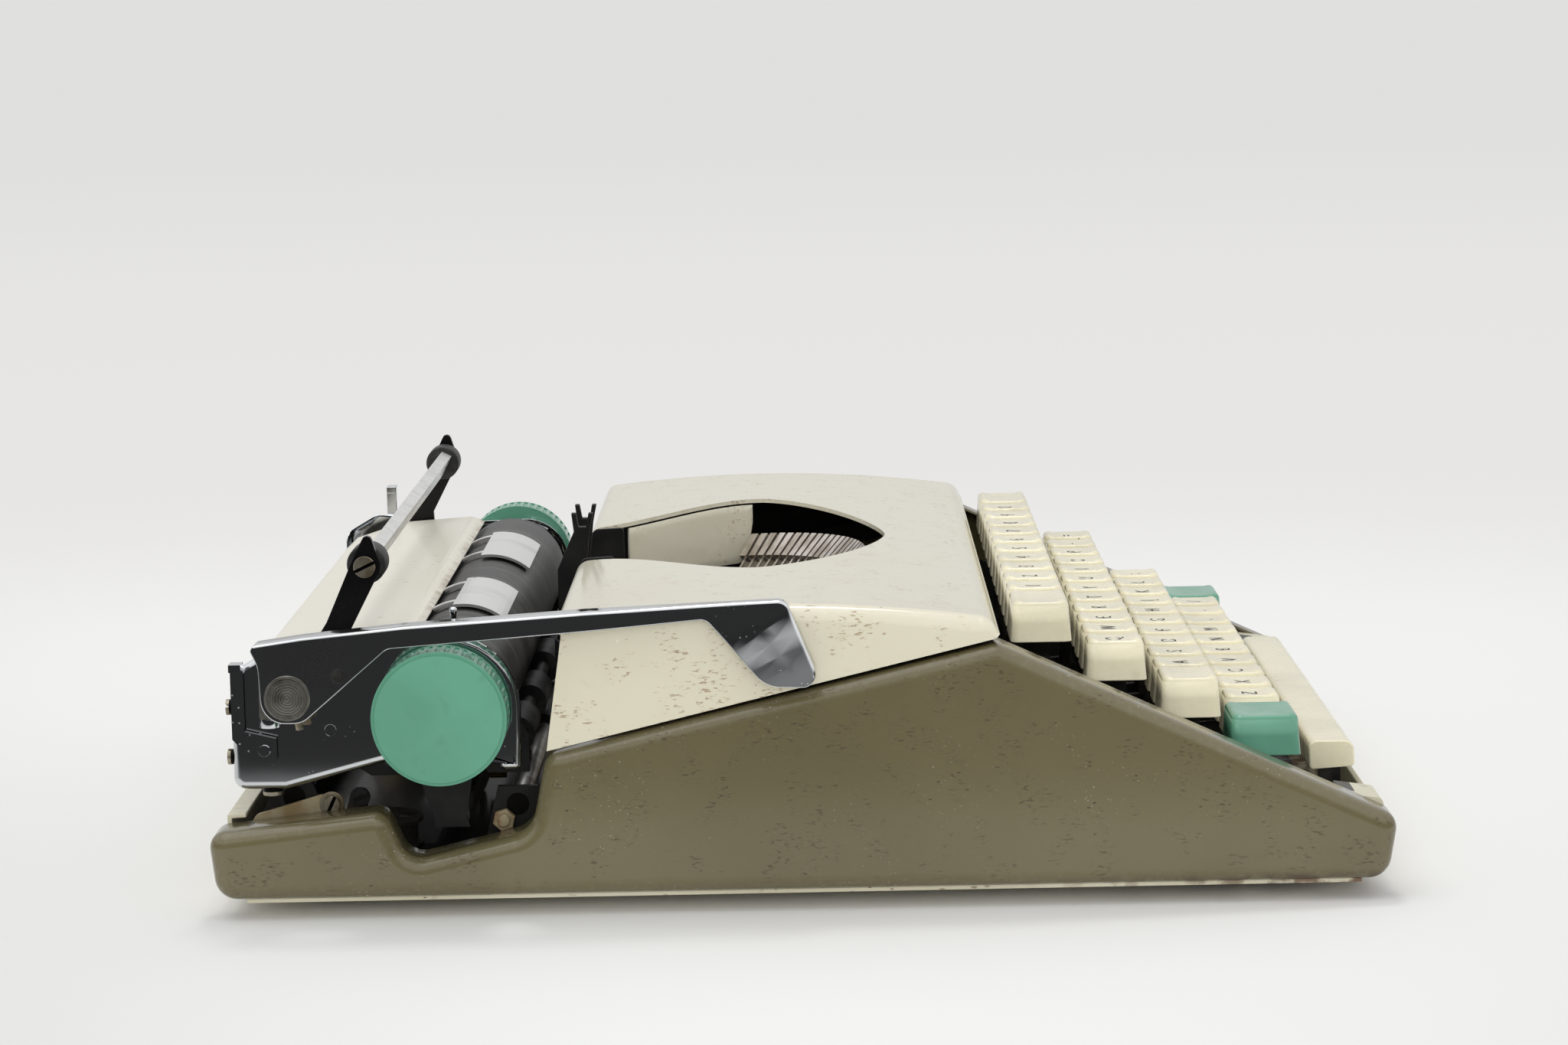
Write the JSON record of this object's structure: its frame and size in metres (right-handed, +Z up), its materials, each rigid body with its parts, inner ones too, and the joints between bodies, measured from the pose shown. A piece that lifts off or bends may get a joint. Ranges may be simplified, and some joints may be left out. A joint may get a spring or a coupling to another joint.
{
  "type": "portable typewriter",
  "caption": "Low portable typewriter with enamelled side panels, lift-off ribbon cover, sloped keyboard, type basket and a shifting carriage with platen, paper bail and folded return lever.",
  "frame": {"origin": "on the table, under the middle of the machine's box", "axes": "+X to the typist's right, +Y to the rear, +Z up"},
  "size_m": [0.314, 0.3099, 0.0978],
  "materials": {
    "olive_enamel": "semi-gloss olive enamel with fine orange peel and rust specks",
    "cream_enamel": "semi-gloss cream enamel",
    "foot_rubber": "matt black rubber",
    "frame_black": "satin black paint on pressed steel",
    "ground_steel": "ground steel",
    "dull_steel": "dull zinc-plated steel",
    "chrome": "polished chrome, lightly pitted",
    "brass": "dull brass",
    "black_metal": "satin black",
    "ribbon_ink": "inked cotton ribbon",
    "key_plastic": "cream moulded plastic",
    "green_plastic": "sea-green moulded plastic",
    "platen_rubber": "dark grey hard rubber",
    "roller_rubber": "grey rubber",
    "clear_guide": "bright curved sheet"
  },
  "bodies": {
    "chassis": {"side_panel_left": "olive_enamel", "side_panel_right": "olive_enamel", "body_pan": "cream_enamel", "rubber_feet": "foot_rubber", "main_frame": "frame_black", "ground_rods": "ground_steel", "key_comb": "frame_black", "type_segment": "dull_steel", "typebars": "dull_steel", "type_guide": "black_metal", "ribbon": "ribbon_ink", "line_bell": "brass", "frame_screws": "ground_steel"},
    "cover": {"ribbon_cover": "cream_enamel"},
    "spool_left": {"ribbon_spool_left": "dull_steel"},
    "spool_right": {"ribbon_spool_right": "dull_steel"},
    "vibrator": {"ribbon_vibrator": "black_metal"},
    "typebar": {"striking_typebar": "dull_steel"},
    "truck": {"carriage_truck": "frame_black", "carriage_rack": "dull_steel"},
    "carriage": {"carriage_frame": "frame_black", "carriage_cheek_left": "chrome", "carriage_cheek_right": "chrome", "paper_table": "cream_enamel", "paper_plates": "clear_guide"},
    "platen_roll": {"platen": "platen_rubber", "platen_knob_left": "green_plastic", "platen_knob_right": "green_plastic", "line_ratchet": "dull_steel"},
    "feed_front": {"feed_roller_front": "roller_rubber"},
    "feed_rear": {"feed_roller_rear": "roller_rubber"},
    "bail": {"paper_bail": "chrome"},
    "bail_roll": {"bail_rollers": "roller_rubber"},
    "bracket": {"lever_bracket": "dull_steel"},
    "lever": {"return_lever": "chrome"},
    "carriage_free": {"carriage_release": "chrome"},
    "paper_free": {"paper_release": "chrome"},
    "margin_left": {"margin_stop_left": "dull_steel"},
    "margin_right": {"margin_stop_right": "dull_steel"},
    "drum": {"spring_drum": "dull_steel"},
    "escapement": {"escapement_wheel": "brass"},
    "home_01": {"home_key_01": "key_plastic"},
    "home_02": {"home_key_02": "key_plastic"},
    "home_03": {"home_key_03": "key_plastic"},
    "home_04": {"home_key_04": "key_plastic"},
    "home_05": {"home_key_05": "key_plastic"},
    "home_06": {"home_key_06": "key_plastic"},
    "home_07": {"home_key_07": "key_plastic"},
    "home_08": {"home_key_08": "key_plastic"},
    "home_09": {"home_key_09": "key_plastic"},
    "home_10": {"home_key_10": "key_plastic"},
    "number_keys": {"number_row": "key_plastic"},
    "upper_keys": {"upper_row": "key_plastic"},
    "lower_keys": {"lower_row": "key_plastic"},
    "shift_left": {"shift_key_left": "green_plastic"},
    "shift_right": {"shift_key_right": "green_plastic"},
    "shift_lock": {"shift_lock_key": "key_plastic"},
    "margin_release": {"margin_release_key": "key_plastic"},
    "backspace": {"backspace_key": "key_plastic"},
    "space": {"space_bar": "key_plastic"}
  },
  "joints": [
    {"name": "cover_lift", "type": "slide", "parent": "chassis", "child": "cover", "axis": [0, 0, 1], "range_m": [0, 0.06]},
    {"name": "spool_left_turn", "type": "hinge", "parent": "chassis", "child": "spool_left", "pos_m": [-0.11, 0.032, 0.046], "axis": [0, 0, 1], "continuous": true},
    {"name": "spool_right_turn", "type": "hinge", "parent": "chassis", "child": "spool_right", "pos_m": [0.11, 0.032, 0.046], "axis": [0, 0, 1], "continuous": true},
    {"name": "home_01_press", "type": "hinge", "parent": "chassis", "child": "home_01", "pos_m": [0, 0.06, 0.011], "axis": [1, 0, 0], "range_deg": [0, 3.2], "stiffness_Nm_per_rad": 0.6, "springref_deg": -3.44},
    {"name": "home_02_press", "type": "hinge", "parent": "chassis", "child": "home_02", "pos_m": [0, 0.06, 0.011], "axis": [1, 0, 0], "range_deg": [0, 3.2], "stiffness_Nm_per_rad": 0.6, "springref_deg": -3.44},
    {"name": "home_03_press", "type": "hinge", "parent": "chassis", "child": "home_03", "pos_m": [0, 0.06, 0.011], "axis": [1, 0, 0], "range_deg": [0, 3.2], "stiffness_Nm_per_rad": 0.6, "springref_deg": -3.44},
    {"name": "home_04_press", "type": "hinge", "parent": "chassis", "child": "home_04", "pos_m": [0, 0.06, 0.011], "axis": [1, 0, 0], "range_deg": [0, 3.2], "stiffness_Nm_per_rad": 0.6, "springref_deg": -3.44},
    {"name": "home_05_press", "type": "hinge", "parent": "chassis", "child": "home_05", "pos_m": [0, 0.06, 0.011], "axis": [1, 0, 0], "range_deg": [0, 3.2], "stiffness_Nm_per_rad": 0.6, "springref_deg": -3.44},
    {"name": "home_06_press", "type": "hinge", "parent": "chassis", "child": "home_06", "pos_m": [0, 0.06, 0.011], "axis": [1, 0, 0], "range_deg": [0, 3.2], "stiffness_Nm_per_rad": 0.6, "springref_deg": -3.44},
    {"name": "home_07_press", "type": "hinge", "parent": "chassis", "child": "home_07", "pos_m": [0, 0.06, 0.011], "axis": [1, 0, 0], "range_deg": [0, 3.2], "stiffness_Nm_per_rad": 0.6, "springref_deg": -3.44},
    {"name": "home_08_press", "type": "hinge", "parent": "chassis", "child": "home_08", "pos_m": [0, 0.06, 0.011], "axis": [1, 0, 0], "range_deg": [0, 3.2], "stiffness_Nm_per_rad": 0.6, "springref_deg": -3.44},
    {"name": "home_09_press", "type": "hinge", "parent": "chassis", "child": "home_09", "pos_m": [0, 0.06, 0.011], "axis": [1, 0, 0], "range_deg": [0, 3.2], "stiffness_Nm_per_rad": 0.6, "springref_deg": -3.44},
    {"name": "home_10_press", "type": "hinge", "parent": "chassis", "child": "home_10", "pos_m": [0, 0.06, 0.011], "axis": [1, 0, 0], "range_deg": [0, 3.2], "stiffness_Nm_per_rad": 0.6, "springref_deg": -3.44},
    {"name": "number_keys_press", "type": "hinge", "parent": "chassis", "child": "number_keys", "pos_m": [0, 0.06, 0.011], "axis": [1, 0, 0], "range_deg": [0, 3.2], "stiffness_Nm_per_rad": 5, "springref_deg": -4.58},
    {"name": "upper_keys_press", "type": "hinge", "parent": "chassis", "child": "upper_keys", "pos_m": [0, 0.06, 0.011], "axis": [1, 0, 0], "range_deg": [0, 3.2], "stiffness_Nm_per_rad": 6, "springref_deg": -4.58},
    {"name": "lower_keys_press", "type": "hinge", "parent": "chassis", "child": "lower_keys", "pos_m": [0, 0.06, 0.011], "axis": [1, 0, 0], "range_deg": [0, 3.2], "stiffness_Nm_per_rad": 6, "springref_deg": -4.58},
    {"name": "vibrator_lift", "type": "slide", "parent": "chassis", "child": "vibrator", "axis": [0, 0, 1], "range_m": [0, 0.006]},
    {"name": "typebar_swing", "type": "hinge", "parent": "chassis", "child": "typebar", "pos_m": [0.00091, 0.02595, 0.02532], "axis": [-0.9998, -0.0211, 0.003], "range_deg": [0, 92.6]},
    {"name": "carriage_slide", "type": "slide", "parent": "chassis", "child": "truck", "axis": [1, 0, 0], "range_m": [-0.1, 0]},
    {"name": "carriage_shift", "type": "slide", "parent": "truck", "child": "carriage", "axis": [0, 0, 1], "range_m": [0, 0.006]},
    {"name": "shift_left_press", "type": "hinge", "parent": "chassis", "child": "shift_left", "pos_m": [0, 0.06, 0.011], "axis": [1, 0, 0], "range_deg": [0, 3.2]},
    {"name": "shift_right_press", "type": "hinge", "parent": "chassis", "child": "shift_right", "pos_m": [0, 0.06, 0.011], "axis": [1, 0, 0], "range_deg": [0, 3.2]},
    {"name": "shift_lock_press", "type": "hinge", "parent": "chassis", "child": "shift_lock", "pos_m": [0, 0.06, 0.011], "axis": [1, 0, 0], "range_deg": [0, 3.2], "stiffness_Nm_per_rad": 0.6, "springref_deg": -3.44},
    {"name": "margin_release_press", "type": "hinge", "parent": "chassis", "child": "margin_release", "pos_m": [0, 0.06, 0.011], "axis": [1, 0, 0], "range_deg": [0, 3.2], "stiffness_Nm_per_rad": 0.6, "springref_deg": -3.44},
    {"name": "backspace_press", "type": "hinge", "parent": "chassis", "child": "backspace", "pos_m": [0, 0.06, 0.011], "axis": [1, 0, 0], "range_deg": [0, 3.2], "stiffness_Nm_per_rad": 0.6, "springref_deg": -3.44},
    {"name": "space_press", "type": "hinge", "parent": "chassis", "child": "space", "pos_m": [0, 0.06, 0.011], "axis": [1, 0, 0], "range_deg": [0, 2.4], "stiffness_Nm_per_rad": 2, "springref_deg": -3.44},
    {"name": "platen_turn", "type": "hinge", "parent": "carriage", "child": "platen_roll", "pos_m": [0, 0.0932, 0.0539], "axis": [1, 0, 0], "continuous": true},
    {"name": "feed_front_turn", "type": "hinge", "parent": "carriage", "child": "feed_front", "pos_m": [0, 0.0778, 0.0385], "axis": [1, 0, 0], "continuous": true},
    {"name": "feed_rear_turn", "type": "hinge", "parent": "carriage", "child": "feed_rear", "pos_m": [0, 0.1086, 0.0385], "axis": [1, 0, 0], "continuous": true},
    {"name": "bail_swing", "type": "hinge", "parent": "carriage", "child": "bail", "pos_m": [0, 0.122, 0.048], "axis": [1, 0, 0], "range_deg": [0, 38.5]},
    {"name": "bail_roller_turn", "type": "hinge", "parent": "bail", "child": "bail_roll", "pos_m": [0, 0.1143, 0.0898], "axis": [1, 0, 0], "continuous": true},
    {"name": "lever_stroke", "type": "hinge", "parent": "carriage", "child": "bracket", "pos_m": [-0.144, 0.1385, 0.06], "axis": [0, 0, -1], "range_deg": [0, 28], "stiffness_Nm_per_rad": 0.4, "springref_deg": -5.73},
    {"name": "lever_fold", "type": "hinge", "parent": "bracket", "child": "lever", "pos_m": [-0.15, 0.1321, 0.0602], "axis": [-1, 0, 0], "range_deg": [0, 20]},
    {"name": "carriage_release_press", "type": "hinge", "parent": "carriage", "child": "carriage_free", "pos_m": [-0.1432, 0.14, 0.0445], "axis": [-1, 0, 0], "range_deg": [0, 10], "stiffness_Nm_per_rad": 0.05, "springref_deg": -11.46},
    {"name": "paper_release_pull", "type": "hinge", "parent": "carriage", "child": "paper_free", "pos_m": [0.1432, 0.128, 0.062], "axis": [1, 0, 0], "range_deg": [0, 24]},
    {"name": "margin_left_slide", "type": "slide", "parent": "carriage", "child": "margin_left", "axis": [1, 0, 0], "range_m": [-0.006, 0.085]},
    {"name": "margin_right_slide", "type": "slide", "parent": "carriage", "child": "margin_right", "axis": [1, 0, 0], "range_m": [-0.085, 0.006]},
    {"name": "drum_turn", "type": "hinge", "parent": "chassis", "child": "drum", "pos_m": [-0.095, 0.118, 0.012], "axis": [0, 0, 1], "range_deg": [-480, 10]},
    {"name": "escapement_turn", "type": "hinge", "parent": "chassis", "child": "escapement", "pos_m": [0, 0.09, 0.0155], "axis": [0, 1, 0], "range_deg": [-960, 5]}
  ],
  "couplings": [
    {"joint": "spool_right_turn", "follows": "spool_left_turn", "ratio": 1},
    {"joint": "vibrator_lift", "follows": "home_06_press", "m_per_rad": 0.10732},
    {"joint": "typebar_swing", "follows": "home_06_press", "ratio": 28.906},
    {"joint": "shift_left_press", "follows": "carriage_shift", "rad_per_m": 9.2991},
    {"joint": "shift_right_press", "follows": "carriage_shift", "rad_per_m": 9.2991},
    {"joint": "feed_front_turn", "follows": "platen_turn", "ratio": -3.3},
    {"joint": "feed_rear_turn", "follows": "platen_turn", "ratio": -3.3},
    {"joint": "drum_turn", "follows": "carriage_slide", "rad_per_m": 80},
    {"joint": "escapement_turn", "follows": "carriage_slide", "rad_per_m": 166.67}
  ]
}
